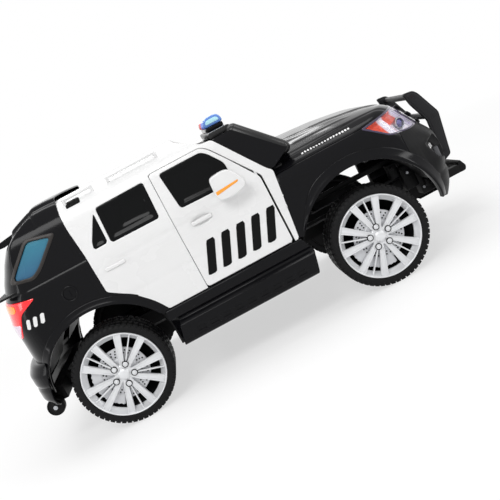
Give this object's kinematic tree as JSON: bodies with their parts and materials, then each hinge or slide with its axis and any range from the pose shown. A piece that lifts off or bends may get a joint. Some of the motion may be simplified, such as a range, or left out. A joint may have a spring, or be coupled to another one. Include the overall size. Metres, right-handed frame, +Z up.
{
  "type": "ride-on toy police suv",
  "caption": "Child's battery ride-on toy shaped as a police suv: steered front wheels, opening doors, open roof, light bar, push bar and pull-out trolley handle.",
  "frame": {"origin": "on the floor, under the middle of the whole toy with its handle pulled out", "axes": "+X forward, +Y to the left, +Z up"},
  "size_m": [1.345, 0.702, 0.6],
  "materials": {
    "white_plastic": "gloss",
    "black_plastic": "gloss",
    "dark_plastic": "matte",
    "silver_plastic": "satin",
    "tyre_plastic": "matte",
    "steel": "satin",
    "tinted": "gloss",
    "blue_pane": "gloss",
    "clear_lens": "gloss",
    "red_lens": "gloss",
    "blue_lens": "gloss"
  },
  "bodies": {
    "body": {"floor_tub": "dark_plastic", "seat": "dark_plastic", "rear_shelf": "dark_plastic", "battery": "dark_plastic", "dashboard": "dark_plastic", "side_panel_right": "white_plastic", "side_panel_left": "white_plastic", "rear_side_windows": "tinted", "hood": "black_plastic", "fender_right": "black_plastic", "fender_left": "black_plastic", "headlights": "clear_lens", "front_bumper": "black_plastic", "grille": "dark_plastic", "push_bar": "black_plastic", "windshield_frame": "black_plastic", "windshield": "tinted", "light_bar_base": "black_plastic", "light_bar_red": "red_lens", "light_bar_blue": "blue_lens", "running_board_right": "black_plastic", "running_board_left": "black_plastic", "rear_body": "black_plastic", "rear_window": "tinted", "pillar_windows": "blue_pane", "tail_lamps": "red_lens", "spoiler": "black_plastic", "rear_bumper": "black_plastic", "roof_rails": "white_plastic", "rear_axle": "steel", "gearboxes": "dark_plastic", "front_beam": "dark_plastic", "trolley_bracket": "dark_plastic"},
    "door_right": {"door_right": "white_plastic", "door_window_right": "tinted", "mirror_right": "white_plastic"},
    "door_left": {"door_left": "white_plastic", "door_window_left": "tinted", "mirror_left": "white_plastic"},
    "steering": {"steering_wheel": "black_plastic"},
    "tie": {"tie_rod": "steel"},
    "right_knuckle": {"knuckle_right": "dark_plastic"},
    "left_knuckle": {"knuckle_left": "dark_plastic"},
    "wheel_front_right": {"tyre_front_right": "tyre_plastic", "rim_front_right": "silver_plastic"},
    "wheel_front_left": {"tyre_front_left": "tyre_plastic", "rim_front_left": "silver_plastic"},
    "wheel_rear_right": {"tyre_rear_right": "tyre_plastic", "rim_rear_right": "silver_plastic"},
    "wheel_rear_left": {"tyre_rear_left": "tyre_plastic", "rim_rear_left": "silver_plastic"},
    "trolley_handle": {"handle": "black_plastic"},
    "trolley_right": {"trolley_wheel_right": "black_plastic"},
    "trolley_left": {"trolley_wheel_left": "black_plastic"}
  },
  "joints": [
    {"name": "steering_turn", "type": "hinge", "parent": "body", "child": "steering", "pos_m": [0.0085, 0.122, 0.436], "axis": [-0.7071, 0, 0.7071], "range_deg": [-60, 60]},
    {"name": "steer_right", "type": "hinge", "parent": "body", "child": "right_knuckle", "pos_m": [0.3185, -0.185, 0.132], "axis": [0, 0, 1], "range_deg": [-21, 21]},
    {"name": "steer_left", "type": "hinge", "parent": "body", "child": "left_knuckle", "pos_m": [0.3185, 0.185, 0.132], "axis": [0, 0, 1], "range_deg": [-21, 21]},
    {"name": "tie_rod_slide", "type": "slide", "parent": "body", "child": "tie", "axis": [0, 1, 0], "range_m": [-0.0228, 0.0228]},
    {"name": "wheel_front_right_spin", "type": "hinge", "parent": "right_knuckle", "child": "wheel_front_right", "pos_m": [0.3185, -0.26, 0.132], "axis": [0, 1, 0], "continuous": true},
    {"name": "wheel_front_left_spin", "type": "hinge", "parent": "left_knuckle", "child": "wheel_front_left", "pos_m": [0.3185, 0.26, 0.132], "axis": [0, 1, 0], "continuous": true},
    {"name": "wheel_rear_right_spin", "type": "hinge", "parent": "body", "child": "wheel_rear_right", "pos_m": [-0.4215, -0.26, 0.132], "axis": [0, 1, 0], "continuous": true},
    {"name": "wheel_rear_left_spin", "type": "hinge", "parent": "body", "child": "wheel_rear_left", "pos_m": [-0.4215, 0.26, 0.132], "axis": [0, 1, 0], "continuous": true},
    {"name": "door_right_swing", "type": "hinge", "parent": "body", "child": "door_right", "pos_m": [0.1085, -0.303, 0.33], "axis": [0, 0, 1], "range_deg": [0, 60]},
    {"name": "door_left_swing", "type": "hinge", "parent": "body", "child": "door_left", "pos_m": [0.1085, 0.303, 0.33], "axis": [0, 0, -1], "range_deg": [0, 60]},
    {"name": "handle_slide", "type": "slide", "parent": "body", "child": "trolley_handle", "axis": [1, 0, 0], "range_m": [-0.066, 0]},
    {"name": "trolley_right_spin", "type": "hinge", "parent": "body", "child": "trolley_right", "pos_m": [-0.6325, -0.222, 0.123], "axis": [0, 1, 0], "continuous": true},
    {"name": "trolley_left_spin", "type": "hinge", "parent": "body", "child": "trolley_left", "pos_m": [-0.6325, 0.222, 0.123], "axis": [0, 1, 0], "continuous": true}
  ],
  "couplings": [
    {"joint": "steer_right", "follows": "steering_turn", "ratio": 0.35},
    {"joint": "steer_left", "follows": "steering_turn", "ratio": 0.35},
    {"joint": "tie_rod_slide", "follows": "steering_turn", "m_per_rad": -0.02174}
  ]
}
